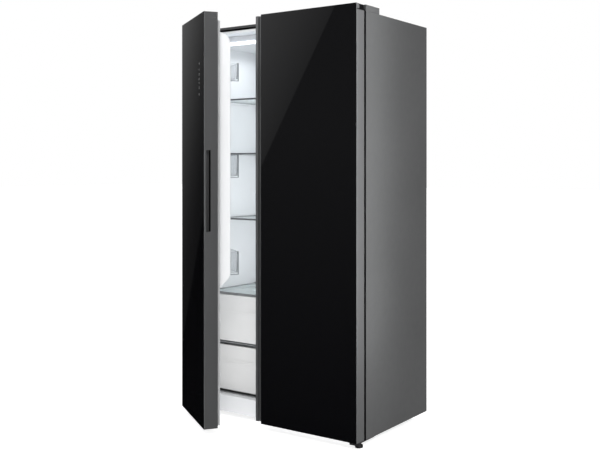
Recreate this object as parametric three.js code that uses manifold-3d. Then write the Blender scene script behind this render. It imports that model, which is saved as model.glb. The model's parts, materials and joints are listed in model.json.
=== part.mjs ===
// Side by side refrigerator with a freezer on the left and a fridge on the right.
// Millimetres, +X to the right, +Y to the back, +Z up. The parts are laid out with Y = 0 on the
// front glass of the closed doors and X = 0 in the middle of the cabinet. The finished group is
// then moved so that its origin is the middle of the bottom of its box.

import * as THREE from 'three';
import { mergeVertices } from 'three/addons/utils/BufferGeometryUtils.js';
import Module from 'manifold-3d';

// Driving dimensions
const cabinetWidth = 910;
const cabinetBottom = 33;
const cabinetTop = 1721;
const cabinetDepth = 518;
const doorBottom = 36;
const doorTop = 1743.5;
const doorThickness = 59;
const gasketGap = 11;
const freezerDoorWidth = 391.5;
const doorGap = 5;
const channelWidth = 45.5;
const channelDepth = 24;
const hingeInset = 20;
const hingeSetback = 42;
const freezerDoorAngle = 34;

// Material thicknesses and fits
const sheet = 1.2;
const panSheet = 1.5;
const linerWall = 2;
const glassThickness = 4;
const gap = 0.3;

// Positions that follow from the driving dimensions
const side = cabinetWidth / 2;
const cabinetFront = doorThickness + gasketGap;
const cabinetBack = cabinetFront + cabinetDepth;
const freezerFreeEdge = -side + freezerDoorWidth;
const fridgeFreeEdge = freezerFreeEdge + doorGap;
const fridgeGlassEdge = fridgeFreeEdge + channelWidth;
const hingeX = side - hingeInset;
const hingeY = hingeSetback;

// Cabinet front: a painted flange round the opening, a white sill below, a mullion in the middle
const sideFlange = 34;
const topFlange = 19;
const openingTop = cabinetTop - topFlange;
const mullion = { left: freezerFreeEdge - 15.5, right: fridgeFreeEdge + 23.5 };

// Compartments
const compartment = { bottom: 105, top: openingTop - 10, back: cabinetBack - 70 };
const freezer = { left: -side + 50, right: mullion.left };
const fridge = { left: mullion.right, right: side - 45 };
const bay = { front: cabinetBack - 193, top: 262 };
const step = { back: bay.front - 23, top: bay.top + 22 };
const linerFront = cabinetFront + sheet + gap;

// Drawers, and the shelves above them
const drawerHeights = [[111.5, 318], [337.5, 540.5]];
const freezerDrawerFront = 105;
const crisperFront = 118;
const shelfFront = 172;
const shelfBack = 455;
const freezerShelfTops = [1416, 1171, 877];
const fridgeShelfTops = [1380, 1110, 840];
const lidTops = { lower: 333.5, upper: 551 };
const railWidth = 6;

// Door insides
const capBottom = doorTop - 24;
const panelFace = doorThickness + 7;
const gasketWidth = 12;
const gasketInset = { hinge: 17, free: 3.5 };
const gasketBottom = doorBottom + 10;
const gasketTop = doorTop - 33.5;
const dyke = { bottom: 598, top: 1668, slope: 56, thickness: 12 };
const gripSlot = { bottom: 843, top: 1176, front: 10, back: 29, depth: 30 };
const gripWall = 1.5;
const pinRadius = 5;
const pinBore = 5.4;

// Hinges, feet and rollers
const notch = { front: 21.5, inner: side - 47, floor: capBottom + 1.2 };
const floorLevel = 8;
const foot = { x: side - 19, y: 50, radius: 16, top: 19.5, stem: 4, stemTop: 28.5 };
const roller = { x: 405, y: 548, radius: 19, width: 22, axle: 4, bore: 4.4 };
const rollerHeight = floorLevel + roller.radius;

const wasm = await Module();
wasm.setup();
const { Manifold } = wasm;

// ---- Solids -------------------------------------------------------------------------------

// Coordinates are rounded to a micrometre, so that faces meant to be flush are exactly flush.
function solid(geometry) {
  geometry.deleteAttribute('normal');
  geometry.deleteAttribute('uv');
  const merged = mergeVertices(geometry, 1e-4);
  return new Manifold(new wasm.Mesh({
    numProp: 3,
    vertProperties: merged.attributes.position.array.map((v) => Math.round(v * 1000) / 1000),
    triVerts: new Uint32Array(merged.index.array),
  }));
}

function box([x0, x1], [y0, y1], [z0, z1]) {
  const geometry = new THREE.BoxGeometry(x1 - x0, y1 - y0, z1 - z0);
  geometry.translate((x0 + x1) / 2, (y0 + y1) / 2, (z0 + z1) / 2);
  return solid(geometry);
}

const toFrame = {
  // Shape axes (a, b) and the extrusion direction become these object axes.
  x: new THREE.Matrix4().makeBasis(
    new THREE.Vector3(0, 1, 0), new THREE.Vector3(0, 0, 1), new THREE.Vector3(1, 0, 0)),
  y: new THREE.Matrix4().makeBasis(
    new THREE.Vector3(0, 0, 1), new THREE.Vector3(1, 0, 0), new THREE.Vector3(0, 1, 0)),
  z: new THREE.Matrix4(),
};

// A shape drawn in (Y, Z) for axis x, in (Z, X) for axis y and in (X, Y) for axis z.
function prism(axis, shape, [from, to], curveSegments = 8) {
  const geometry = new THREE.ExtrudeGeometry(shape, {
    depth: to - from, bevelEnabled: false, curveSegments,
  });
  geometry.translate(0, 0, from);
  geometry.applyMatrix4(toFrame[axis]);
  return solid(geometry);
}

function outline(points) {
  return new THREE.Shape(points.map(([a, b]) => new THREE.Vector2(a, b)));
}

function roundedRect([a0, a1], [b0, b1], radius) {
  const shape = new THREE.Shape();
  shape.absarc(a1 - radius, b0 + radius, radius, -Math.PI / 2, 0);
  shape.absarc(a1 - radius, b1 - radius, radius, 0, Math.PI / 2);
  shape.absarc(a0 + radius, b1 - radius, radius, Math.PI / 2, Math.PI);
  shape.absarc(a0 + radius, b0 + radius, radius, Math.PI, 1.5 * Math.PI);
  return shape;
}

function disc([a, b], radius) {
  return new THREE.Shape().absarc(a, b, radius, 0, 2 * Math.PI);
}

function rod(axis, centre, radius, range, segments = 10) {
  return prism(axis, disc(centre, radius), range, segments);
}

// A turned piece about +Z, with its profile given as [radius, height] from bottom to top.
function turned(profile, segments = 24) {
  return solid(new THREE.LatheGeometry(profile.map(([r, z]) => new THREE.Vector2(r, z)), segments)
    .rotateX(Math.PI / 2));
}

function join(...parts) {
  return parts.reduce((whole, part) => whole.add(part));
}

function cut(body, ...tools) {
  return tools.reduce((whole, tool) => whole.subtract(tool), body);
}

function mirrored(part) {
  return part.mirror([1, 0, 0]);
}

// ---- Materials and nodes ------------------------------------------------------------------

const looks = {
  graphite: { color: 0x55585a, roughness: 0.42, metalness: 0.35 },
  doorEdge: { color: 0x74777a, roughness: 0.35, metalness: 0.55 },
  capGrey: { color: 0x3b3d3f, roughness: 0.5, metalness: 0.1 },
  blackGlass: { color: 0x050506, roughness: 0.04, metalness: 0.0 },
  galvanised: { color: 0xa4a8aa, roughness: 0.45, metalness: 0.8 },
  white: { color: 0xf1f3f6, roughness: 0.35, metalness: 0.0 },
  clear: { color: 0xdfe6ea, roughness: 0.08, metalness: 0.0 },
  foam: { color: 0xe8dcae, roughness: 0.9, metalness: 0.0 },
  rubber: { color: 0x1b1c1d, roughness: 0.75, metalness: 0.0 },
  gasket: { color: 0xb9bcbe, roughness: 0.6, metalness: 0.0 },
  black: { color: 0x141516, roughness: 0.45, metalness: 0.1 },
  lamp: { color: 0xffffff, roughness: 0.3, metalness: 0.0 },
  aluminium: { color: 0xb8bcc0, roughness: 0.35, metalness: 0.9 },
  circuit: { color: 0x1d5a36, roughness: 0.5, metalness: 0.1 },
};

function mesh(name, part, look) {
  const { vertProperties, triVerts } = part.getMesh();
  const geometry = new THREE.BufferGeometry();
  geometry.setAttribute('position', new THREE.BufferAttribute(vertProperties, 3));
  geometry.setIndex(new THREE.BufferAttribute(triVerts, 1));
  geometry.computeVertexNormals();
  const node = new THREE.Mesh(geometry, new THREE.MeshStandardMaterial(looks[look]));
  node.name = name;
  return node;
}

// ---- Cabinet ------------------------------------------------------------------------------

function outerShell() {
  const skin = side - sheet;
  const returnWidth = 14;
  return cut(
    box([-side, side], [cabinetFront, cabinetBack], [cabinetBottom, cabinetTop]),
    box([-skin, skin], [cabinetFront + sheet, cabinetBack - sheet], [0, cabinetTop - sheet]),
    box([-side + sideFlange, side - sideFlange], [0, cabinetFront + 2], [0, openingTop]),
    box([-side + returnWidth, side - returnWidth], [cabinetBack - 2, cabinetBack + 1],
      [0, cabinetTop - returnWidth]),
  );
}

// Sill below the doors and the upright strip between the two compartments, in one pressing.
function frontFrame() {
  const reach = side - sideFlange - gap;
  const face = [cabinetFront, cabinetFront + sheet];
  return join(
    box([-reach, reach], face, [cabinetBottom, compartment.bottom - gap]),
    box([-reach, reach], [cabinetFront, cabinetFront + 20], [cabinetBottom, cabinetBottom + sheet]),
    box([mullion.left + gap, mullion.right - gap], face,
      [compartment.bottom - 1, openingTop - gap]),
  );
}

// The liner's side view: full depth above the machine compartment, shallower in front of it.
function linerProfile(grow, front) {
  const { bottom, top, back } = compartment;
  return outline([
    [front, bottom - grow], [step.back + grow, bottom - grow],
    [step.back + grow, step.top - grow], [back + grow, step.top - grow],
    [back + grow, top + grow], [front, top + grow],
  ]);
}

function rails({ left, right }, heights) {
  return heights.flatMap(({ top, back = shelfBack - 15 }) => {
    const run = [shelfFront + 18, back];
    return [
      box([left - 1, left + railWidth], run, [top - 7, top]),
      box([right - railWidth, right + 1], run, [top - 7, top]),
    ];
  });
}

function liner({ left, right }, flange, heights) {
  return join(
    cut(
      join(
        prism('x', linerProfile(linerWall, linerFront), [left - linerWall, right + linerWall]),
        box(flange, [linerFront, linerFront + linerWall], [compartment.bottom - 15, openingTop + 10]),
      ),
      prism('x', linerProfile(0, 0), [left, right]),
    ),
    ...rails({ left, right }, heights),
  );
}

function railHeights(shelfTops) {
  const shelfRails = [...shelfTops, lidTops.upper].map((top) => ({ top: top - 7 - gap }));
  const drawerRails = drawerHeights.map(([, top], i) => ({
    top: top - 10 - gap, back: i === 0 ? step.back - 15 : undefined,
  }));
  return [...shelfRails, ...drawerRails];
}

function foamInsulation() {
  const front = linerFront + linerWall + 0.4;
  const reach = side - sheet - gap;
  const floor = cabinetBottom + 1.9;
  const clear = linerWall + gap;
  return cut(
    box([-reach, reach], [front, cabinetBack - 3.1], [floor, cabinetTop - sheet - gap]),
    prism('x', linerProfile(clear, 0), [freezer.left - clear, freezer.right + clear]),
    prism('x', linerProfile(clear, 0), [fridge.left - clear, fridge.right + clear]),
    box([-side, side], [bay.front, cabinetBack], [0, bay.top]),
  );
}

function basePan() {
  const reach = side - sheet - gap;
  const top = cabinetBottom + 1.5;
  const rear = cabinetBack - 1.5;
  const slotHalf = roller.width / 2 + 3;
  let pan = join(
    box([-reach, reach], [cabinetFront + 20.3, rear], [cabinetBottom, top]),
    ...[-reach + 0.3, reach - 1.8].map((x) =>
      box([x, x + 1.5], [bay.front + 1, rear - 0.5], [cabinetBottom + 0.5, 60])),
  );
  for (const x of [-roller.x, roller.x]) {
    pan = cut(pan, box([x - slotHalf, x + slotHalf], [roller.y - 25, roller.y + 25],
      [cabinetBottom - 1, top + 1]));
    const ears = [x - slotHalf - 3, x + slotHalf + 1].map((edge) =>
      box([edge, edge + 2], [roller.y - 9, roller.y + 9], [rollerHeight - 9, cabinetBottom + 1]));
    const axle = rod('x', [roller.y, rollerHeight], roller.axle,
      [x - slotHalf - 2, x + slotHalf + 2], 5);
    pan = join(pan, ...ears, axle);
  }
  return pan;
}

function rearRoller(x) {
  const half = roller.width / 2;
  const rim = roller.radius - 3;
  const wheel = turned([[0, -half], [rim, -half], [roller.radius, -half + 3],
    [roller.radius, half - 3], [rim, half], [0, half]], 28);
  const bored = cut(wheel, rod('z', [0, 0], roller.bore, [-half - 1, half + 1], 5));
  return bored.rotate([0, 90, 0]).translate([x, roller.y, rollerHeight]);
}

function levellingFoot(x) {
  const { radius, top, stem, stemTop } = foot;
  const [waist, bevel] = [floorLevel + 5, 1.5];
  return turned([[0, floorLevel], [radius - bevel, floorLevel], [radius, floorLevel + bevel],
    [radius, waist - 1], [radius - 1, waist], [radius - 1, waist + 1], [radius, waist + 2],
    [radius, top - bevel], [radius - bevel, top], [stem, top], [stem, stemTop],
    [0, stemTop]], 28).translate([x, foot.y, 0]);
}

function backPanel() {
  return box([-side + 2, side - 2], [cabinetBack + gap, cabinetBack + gap + sheet],
    [bay.top + 8, cabinetTop - 2]);
}

function louvres(centreX, baseZ, count, pitch, [width, height], depth) {
  return Array.from({ length: count }, (_, i) => {
    const z = baseZ + i * pitch;
    return box([centreX - width / 2, centreX + width / 2], depth, [z, z + height]);
  });
}

function bayCover() {
  const through = [cabinetBack, cabinetBack + 5];
  const cover = box([-side + 15, side - 15], [cabinetBack + gap, cabinetBack + gap + 1.5],
    [45, bay.top]);
  const banks = [-300, -100, 100, 300].flatMap((x) => louvres(x, 80, 6, 24, [120, 7], through));
  return cut(cover, ...banks, rod('y', [60, -415], 7, through, 6));
}

function controlBoardCover() {
  const back = cabinetBack + gap + sheet + gap;
  return cut(
    box([120, 340], [back, back + 12], [1450, 1640]),
    box([122.5, 337.5], [back - 1, back + 9.5], [1452.5, 1637.5]),
  );
}

// ---- Cooling parts ------------------------------------------------------------------------

function compressor() {
  const [x, y] = [-260, 490];
  const can = turned([[0, 47], [45, 47], [60, 58], [63, 75], [63, 165], [58, 185], [38, 199],
    [0, 203]], 24).translate([x, y, 0]);
  const plate = box([x - 90, x + 90], [y - 55, y + 55], [44, 47.5]);
  const mounts = [-78, 78].flatMap((dx) => [-42, 42].map((dy) =>
    rod('z', [x + dx, y + dy], 9, [cabinetBottom + 1.8, 44.5], 4)));
  const terminals = box([x - 20, x + 20], [y + 55, y + 78], [95, 135]);
  const stub = rod('z', [x + 30, y - 20], 4, [190, 225], 4);
  return join(can, plate, terminals, stub, ...mounts);
}

// A block of upright fins across X, held along their middle.
function finPack([x0, x1], [y0, y1], [z0, z1], count) {
  const pitch = (x1 - x0) / count;
  const spaces = Array.from({ length: count - 1 }, (_, i) => {
    const x = x0 + (i + 0.5) * pitch;
    return [
      box([x + 2, x + pitch - 2], [y0 - 1, (y0 + y1) / 2 - 3], [z0 - 1, z1 + 1]),
      box([x + 2, x + pitch - 2], [(y0 + y1) / 2 + 3, y1 + 1], [z0 - 1, z1 + 1]),
    ];
  });
  return cut(box([x0, x1], [y0, y1], [z0, z1]), ...spaces.flat());
}

const condenserFan = { x: -100, y: 490, z: 112, radius: 62 };
const evaporatorFan = { x: (freezer.left + freezer.right) / 2, y: 484, z: 1030, radius: 44 };

// The finned condenser with the fan's frame standing in front of it.
function condenser() {
  const { x, y, z, radius } = condenserFan;
  const floor = cabinetBottom + 1.8;
  const frame = cut(
    box([x + 14, x + 18], [y - 76, y + 76], [floor, 190]),
    rod('x', [y, z], radius + 4, [x, x + 30], 12),
  );
  const spider = join(
    box([x + 14, x + 18], [y - radius - 8, y + radius + 8], [z - 5, z + 5]),
    rod('x', [y, z], 16, [x + 14, x + 30], 8),
    rod('x', [y, z], 2, [x - 8, x + 15], 3),
  );
  const ties = [y - 73, y + 69].map((edge) =>
    box([x + 16, x + 55], [edge, edge + 4], [floor + 1, 70]));
  return join(frame, spider, ...ties,
    finPack([x + 54, x + 240], [y - 74, y + 74], [floor, 185], 14));
}

function fanBlades(radius, hubRadius, depth) {
  const hub = cut(
    rod('z', [0, 0], hubRadius, [-depth / 2, depth / 2], 8),
    rod('z', [0, 0], 2.6, [-depth, depth], 3),
  );
  const count = 5;
  const blades = Array.from({ length: count }, (_, i) =>
    box([hubRadius - 2, radius], [-radius * 0.3, radius * 0.3], [-0.9, 0.9])
      .rotate([28, 0, 0]).rotate([0, 0, (i * 360) / count]));
  return join(hub, ...blades);
}

function condenserFanBlades() {
  const { x, y, z, radius } = condenserFan;
  return fanBlades(radius, 18, 12).rotate([0, 90, 0]).translate([x, y, z]);
}

function evaporatorFanBlades() {
  const { x, y, z, radius } = evaporatorFan;
  return fanBlades(radius, 14, 10).rotate([90, 0, 0]).translate([x, y, z]);
}

function evaporator() {
  return finPack([freezer.left + 22, freezer.right - 22], [474, 512], [560, 880], 16);
}

// Rear wall of the freezer, with its air outlets and the fan's motor on the back.
function freezerDuctCover() {
  const { x, y, z, radius } = evaporatorFan;
  const face = [460, 463];
  const through = [458, 465];
  const plate = box([freezer.left + 0.5, freezer.right - 0.5], face, [345, 1655.5]);
  const outlets = [1590, 1330, 760, 620].flatMap((base) =>
    [-90, 0, 90].map((dx) => box([x + dx - 32, x + dx + 32], through, [base, base + 9])));
  const grille = louvres(x, z - radius + 6, 6, 14, [radius * 1.5, 7], through);
  const motor = join(
    rod('y', [z, x], 16, [498, 514], 8),
    rod('y', [z, x], 2, [482, 499], 3),
    box([x - 62, x + 62], [506, 510], [z - 5, z + 5]),
    ...[-62, 58].map((dx) => box([x + dx, x + dx + 4], [462, 510], [z - 5, z + 5])),
  );
  return join(cut(plate, ...outlets, ...grille), motor);
}

function fridgeDuctCover() {
  const centre = (fridge.left + fridge.right) / 2;
  const back = compartment.back - gap;
  const tower = prism('z', outline([
    [centre - 85, back], [centre - 65, back - 16], [centre + 65, back - 16], [centre + 85, back],
  ]), [600, 1640]);
  const outlets = [1560, 1290, 1020, 750].flatMap((base) =>
    [base, base + 16].map((z) => box([centre - 45, centre + 45], [back - 20, back - 8], [z, z + 8])));
  return cut(tower, ...outlets);
}

function freezerCeilingDuct() {
  const x = [freezer.left + 0.5, freezer.right - 0.5];
  return cut(
    box(x, [150, 459], [1656, compartment.top - gap]),
    box([x[0] + 2.5, x[1] - 2.5], [152.5, 456.5], [1658.5, 1700]),
  );
}

// ---- Shelves and drawers ------------------------------------------------------------------

function shelf({ left, right }, front, back, top) {
  const x = [left + 0.5, right - 0.5];
  return join(
    box(x, [front + 8, back], [top - 7, top - 3]),
    box(x, [front, front + 12], [top - 7, top]),
  );
}

function drawer({ left, right }, front, back, [bottom, top]) {
  const face = [left + 1.5, right - 1.5];
  const tub = [left + 9, right - 9];
  const wall = 2.5;
  const rimTop = top - 6;
  return cut(
    join(
      box(face, [front, front + 5], [bottom, top]),
      box([left + 3, right - 3], [front - 3, front + 1], [top - 70, top - 1]),
      box(tub, [front + 4, back - 1], [bottom + 1, rimTop - 1]),
      box([left + 2, right - 2], [front + 4, back], [rimTop - 4, rimTop]),
    ),
    box([tub[0] + wall, tub[1] - wall], [front + 5 + wall, back - 1 - wall],
      [bottom + 1 + wall, top + 1]),
    box([left + 40, right - 40], [front - 4, front + 1.5], [top - 74, top - 58]),
  );
}

// ---- Doors, laid out closed ---------------------------------------------------------------

// hinged is -1 for the freezer door and 1 for the fridge door. reach() counts from the hinged
// edge towards the free edge and inset() from the free edge towards the hinged edge.
function doorPlan(hinged) {
  const hingedEdge = hinged * side;
  const freeEdge = hinged < 0 ? freezerFreeEdge : fridgeFreeEdge;
  const span = (a, b) => [Math.min(a, b), Math.max(a, b)];
  return {
    hinged,
    reach: (distance) => hingedEdge - hinged * distance,
    inset: (distance) => freeEdge + hinged * distance,
    across: (fromHinge, fromFree) =>
      span(hingedEdge - hinged * fromHinge, freeEdge + hinged * fromFree),
    span,
    pin: [hinged * hingeX, hingeY],
    hasChannel: hinged > 0,
  };
}

// The finger channel down the fridge door's free side: an outer land and a deeper inner groove.
function channelSpace(plan, skin, z) {
  const grooveLand = 13.5;
  return join(
    box([plan.inset(-1), fridgeGlassEdge + skin], [-1, channelDepth + skin], z),
    box([plan.inset(grooveLand - skin), fridgeGlassEdge + skin], [0, channelDepth + 6 + skin], z),
  );
}

function doorGlass(plan) {
  const x = plan.hasChannel ? [fridgeGlassEdge, side] : plan.across(0, 0);
  return box(x, [0, glassThickness], [doorBottom, doorTop]);
}

// Folded steel side and front skin, closed at the bottom.
function doorPan(plan) {
  const front = glassThickness + gap;
  const z = [doorBottom + 0.3, capBottom - gap];
  const inside = [doorBottom + 6, doorTop];
  let outer = box(plan.across(0, 0), [front, doorThickness], z);
  let inner = box(plan.across(panSheet, panSheet),
    [front + panSheet, doorThickness - panSheet], inside);
  if (plan.hasChannel) {
    outer = cut(outer, channelSpace(plan, 0, [0, doorTop + 1]));
    inner = cut(inner, channelSpace(plan, panSheet, [0, doorTop + 1]));
  }
  const rearOpening = box(plan.across(12, 12),
    [doorThickness - panSheet - 1, doorThickness + 1], inside);
  const windows = plan.hasChannel ? [] : [touchWindow(plan, 0, [3, 7])];
  return cut(outer, inner, rearOpening, gripOpening(plan), ...windows,
    rod('z', plan.pin, pinBore, [doorBottom - 1, doorBottom + 8]));
}

function gripOpening(plan) {
  const { front, back, bottom, top } = gripSlot;
  const face = plan.hasChannel ? fridgeGlassEdge : plan.inset(0);
  return box(plan.span(face - plan.hinged, face + plan.hinged * (panSheet + 0.5)),
    [front, back], [bottom, top]);
}

// Pocket behind the grip opening, grown all round by a clearance.
function gripPocket(plan, grow) {
  const { front, back, bottom, top, depth } = gripSlot;
  const face = plan.hasChannel ? fridgeGlassEdge : plan.inset(0);
  return box(plan.span(face + plan.hinged * (panSheet - 3), face + plan.hinged * (depth + grow)),
    [front - grow, back + grow], [bottom - grow, top + grow]);
}

function gripInsert(plan) {
  const skin = plan.inset(panSheet + gap);
  const shell = box(plan.span(skin, plan.inset(gripSlot.depth + gripWall)),
    [gripSlot.front - gripWall, gripSlot.back + gripWall],
    [gripSlot.bottom - gripWall, gripSlot.top + gripWall]);
  return cut(shell, gripPocket(plan, 0));
}

const touchPanel = { centre: 77.5, halfWidth: 23, bottom: 1391, top: 1559 };

// Opening for the touch board, in the door without a channel.
function touchWindow(plan, grow, [front, back]) {
  const { centre, halfWidth, bottom, top } = touchPanel;
  const half = halfWidth + 2 + grow;
  return box(plan.span(plan.inset(centre - half), plan.inset(centre + half)),
    [front, back], [bottom - 2 - grow, top + 2 + grow]);
}

function touchBoard(plan) {
  const { centre, halfWidth, bottom, top } = touchPanel;
  return box(plan.span(plan.inset(centre - halfWidth), plan.inset(centre + halfWidth)),
    [glassThickness + 0.4, glassThickness + 3], [bottom, top]);
}

function doorTopCap(plan) {
  const z = [capBottom, doorTop - 0.5];
  let cap = box(plan.across(0, 0), [glassThickness + gap, doorThickness], z);
  if (plan.hasChannel) cap = cut(cap, channelSpace(plan, 0, [0, doorTop + 1]));
  const hingeNotch = box(plan.span(plan.hinged * notch.inner, plan.hinged * (side + 1)),
    [notch.front, doorThickness + 1], [notch.floor, doorTop + 1]);
  return cut(cap, hingeNotch, rod('z', plan.pin, pinBore, [capBottom - 1, notch.floor + 1]));
}

// Raised rib at each side of the door liner, which the bins hang between.
function dykeRib([x0, x1], height) {
  const { bottom, top, slope } = dyke;
  const crest = panelFace + height;
  const shape = new THREE.Shape();
  shape.moveTo(panelFace - 3, bottom);
  shape.lineTo(panelFace, bottom);
  shape.quadraticCurveTo(crest - 4, bottom + slope * 0.8, crest, bottom + slope + 4);
  shape.lineTo(crest, top - slope);
  shape.quadraticCurveTo(crest - 1, top - 4, panelFace, top);
  shape.lineTo(panelFace - 3, top);
  return prism('x', shape, [x0, x1], 6);
}

// Inner door: the insulated core inside the pan, the flat panel and the two ribs.
function doorLiner(plan, ribHeight, freeRibInset) {
  const skin = panSheet + gap;
  const ring = gasketWidth + 0.5;
  let core = box(plan.across(skin, skin), [glassThickness + gap + skin, doorThickness - skin],
    [doorBottom + 6.3, capBottom - gap]);
  if (plan.hasChannel) core = cut(core, channelSpace(plan, skin, [0, doorTop]));
  const panel = box(plan.across(gasketInset.hinge + ring, gasketInset.free + ring),
    [doorThickness - skin - 1, panelFace], [gasketBottom + ring, gasketTop - ring]);
  const hingeRib = plan.span(plan.reach(56), plan.reach(56 + dyke.thickness));
  const freeRib = plan.span(plan.inset(freeRibInset), plan.inset(freeRibInset + dyke.thickness));
  const pocketGrow = plan.hasChannel ? 0 : gripWall + gap;
  const windows = plan.hasChannel ? [] : [touchWindow(plan, 1, [3, 9.5])];
  return cut(
    join(core, panel, dykeRib(hingeRib, ribHeight), dykeRib(freeRib, ribHeight)),
    gripPocket(plan, pocketGrow),
    ...windows,
    rod('z', plan.pin, pinBore, [capBottom - 25, capBottom + 1]),
    rod('z', plan.pin, pinBore, [doorBottom, doorBottom + 30]),
  );
}

function doorGasket(plan) {
  const { hinge, free } = gasketInset;
  const depth = [doorThickness + gap, cabinetFront - 0.4];
  const inner = box(plan.across(hinge + gasketWidth, free + gasketWidth),
    [0, cabinetFront], [gasketBottom + gasketWidth, gasketTop - gasketWidth]);
  return cut(box(plan.across(hinge, free), depth, [gasketBottom, gasketTop]), inner);
}

// Door bin: open at the top, with a sloping rim that is lower at the back.
function doorBin([x0, x1], [bottom, top]) {
  const front = 160;
  const back = panelFace + 0.5;
  const wall = 2.5;
  const body = prism('x', outline([
    [back, bottom - 8], [front - 4, bottom], [front, top], [front - 10, top], [back, top - 14],
  ]), [x0, x1]);
  const room = prism('x', outline([
    [back + wall, bottom - 8 + wall], [front - 4 - wall, bottom + wall],
    [front - wall, top + 1], [back + wall, top + 1],
  ]), [x0 + wall, x1 - wall]);
  return cut(body, room);
}

function binSpan(plan, freeRibInset) {
  const clear = 0.6;
  return plan.span(plan.reach(56 + dyke.thickness + clear),
    plan.inset(freeRibInset + dyke.thickness + clear));
}

// ---- Hinges -------------------------------------------------------------------------------

// Drawn for the right side; the left one is its mirror image.
function lowerHinge() {
  const plate = [cabinetBottom - 3.3, cabinetBottom - gap];
  const [x0, x1, y0, y1] = [side - 51, side - 3, 30, 140];
  const lip = [plate[1] - 14.7, plate[1]];
  const bracket = join(
    box([x0, x1], [y0, y1], plate),
    box([x0, x1], [y0, y0 + 2.5], lip),
    box([x0, x0 + 2.5], [y0, y1], lip),
    rod('z', [foot.x, foot.y], 9, [foot.top + 0.7, plate[0] + 1], 8),
    rod('z', [hingeX, hingeY], pinRadius, [plate[0] + 1, doorBottom + 24], 8),
  );
  return cut(bracket, rod('z', [foot.x, foot.y], foot.stem + 0.5, [0, foot.stemTop + 0.4], 8));
}

function upperHinge() {
  const [x0, x1] = [side - 35, side - 5];
  const plate = [cabinetTop + gap, cabinetTop + gap + 4];
  return join(
    prism('z', roundedRect([x0, x1], [28, 65], 6), [notch.floor + 0.5, doorTop], 3),
    box([x0 + 2, x1 - 1], [50, 160], plate),
    rod('z', [hingeX, hingeY], pinRadius, [capBottom - 22, notch.floor + 1], 8),
  );
}

function hingeCover() {
  const [x0, y0, y1] = [side - 65, cabinetFront + 1, 176];
  const top = doorTop + 2.5;
  const wall = 2;
  return cut(
    box([x0, side], [y0, y1], [cabinetTop + gap, top]),
    box([x0 + wall, side - wall], [y0 + wall, y1 - wall], [cabinetTop - 1, top - wall]),
    box([side - 34, side - 4], [y0 - 1, y0 + wall + 1], [cabinetTop - 1, cabinetTop + 5]),
  );
}

// ---- Assembly -----------------------------------------------------------------------------

function buildCabinet() {
  const cabinet = new THREE.Group();
  const middle = (freezerFreeEdge + fridgeFreeEdge) / 2 + 4;
  const flangeReach = side - 20;
  cabinet.add(
    mesh('outer_shell', outerShell(), 'graphite'),
    mesh('front_frame', frontFrame(), 'white'),
    mesh('freezer_liner', liner(freezer, [-flangeReach, middle - 0.2],
      [...railHeights(freezerShelfTops), { top: lidTops.lower - 7 - gap, back: step.back - 15 }]),
    'white'),
    mesh('fridge_liner', liner(fridge, [middle + 0.2, flangeReach],
      railHeights(fridgeShelfTops)), 'white'),
    mesh('foam_insulation', foamInsulation(), 'foam'),
    mesh('base_pan', basePan(), 'galvanised'),
    mesh('back_panel', backPanel(), 'galvanised'),
    mesh('compressor_bay_cover', bayCover(), 'galvanised'),
    mesh('control_board_cover', controlBoardCover(), 'white'),
    mesh('compressor', compressor(), 'black'),
    mesh('condenser', condenser(), 'black'),
    mesh('condenser_fan_blades', condenserFanBlades(), 'white'),
    mesh('evaporator', evaporator(), 'aluminium'),
    mesh('evaporator_fan_blades', evaporatorFanBlades(), 'white'),
    mesh('left_front_foot', levellingFoot(-foot.x), 'rubber'),
    mesh('right_front_foot', levellingFoot(foot.x), 'rubber'),
    mesh('left_rear_roller', rearRoller(-roller.x), 'white'),
    mesh('right_rear_roller', rearRoller(roller.x), 'white'),
    mesh('left_lower_hinge', mirrored(lowerHinge()), 'black'),
    mesh('right_lower_hinge', lowerHinge(), 'black'),
    mesh('left_upper_hinge', mirrored(upperHinge()), 'black'),
    mesh('right_upper_hinge', upperHinge(), 'black'),
    mesh('left_hinge_cover', mirrored(hingeCover()), 'graphite'),
    mesh('right_hinge_cover', hingeCover(), 'graphite'),
  );
  return cabinet;
}

function buildFreezerInside() {
  const inside = new THREE.Group();
  const lampReach = 10;
  inside.add(
    mesh('freezer_duct_cover', freezerDuctCover(), 'white'),
    mesh('freezer_ceiling_duct', freezerCeilingDuct(), 'white'),
    mesh('freezer_lamp', box([freezer.left + lampReach, freezer.right - lampReach],
      [146, 150 - gap], [1652, 1665]), 'lamp'),
    mesh('freezer_drawer_lid', shelf(freezer, freezerDrawerFront, shelfBack, lidTops.upper),
      'clear'),
    mesh('freezer_drawer_divider', shelf(freezer, freezerDrawerFront, step.back - 5,
      lidTops.lower), 'clear'),
    mesh('freezer_drawer_lower', drawer(freezer, freezerDrawerFront, step.back - 10,
      drawerHeights[0]), 'clear'),
    mesh('freezer_drawer_upper', drawer(freezer, freezerDrawerFront, shelfBack - 5,
      drawerHeights[1]), 'clear'),
  );
  freezerShelfTops.forEach((top, i) => {
    inside.add(mesh(`freezer_shelf_${i + 1}`, shelf(freezer, shelfFront, shelfBack, top), 'clear'));
  });
  return inside;
}

function buildFridgeInside() {
  const inside = new THREE.Group();
  inside.add(
    mesh('fridge_duct_cover', fridgeDuctCover(), 'white'),
    mesh('fridge_lamp', box([fridge.left + 90, fridge.right - 90], [180, 225],
      [compartment.top - 6, compartment.top - gap]), 'lamp'),
    mesh('crisper_lid', shelf(fridge, crisperFront, shelfBack, lidTops.upper), 'clear'),
    mesh('crisper_lower', drawer(fridge, crisperFront, step.back - 10, drawerHeights[0]), 'clear'),
    mesh('crisper_upper', drawer(fridge, crisperFront, shelfBack - 5, drawerHeights[1]), 'clear'),
  );
  fridgeShelfTops.forEach((top, i) => {
    inside.add(mesh(`fridge_shelf_${i + 1}`, shelf(fridge, shelfFront, shelfBack, top), 'clear'));
  });
  return inside;
}

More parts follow.
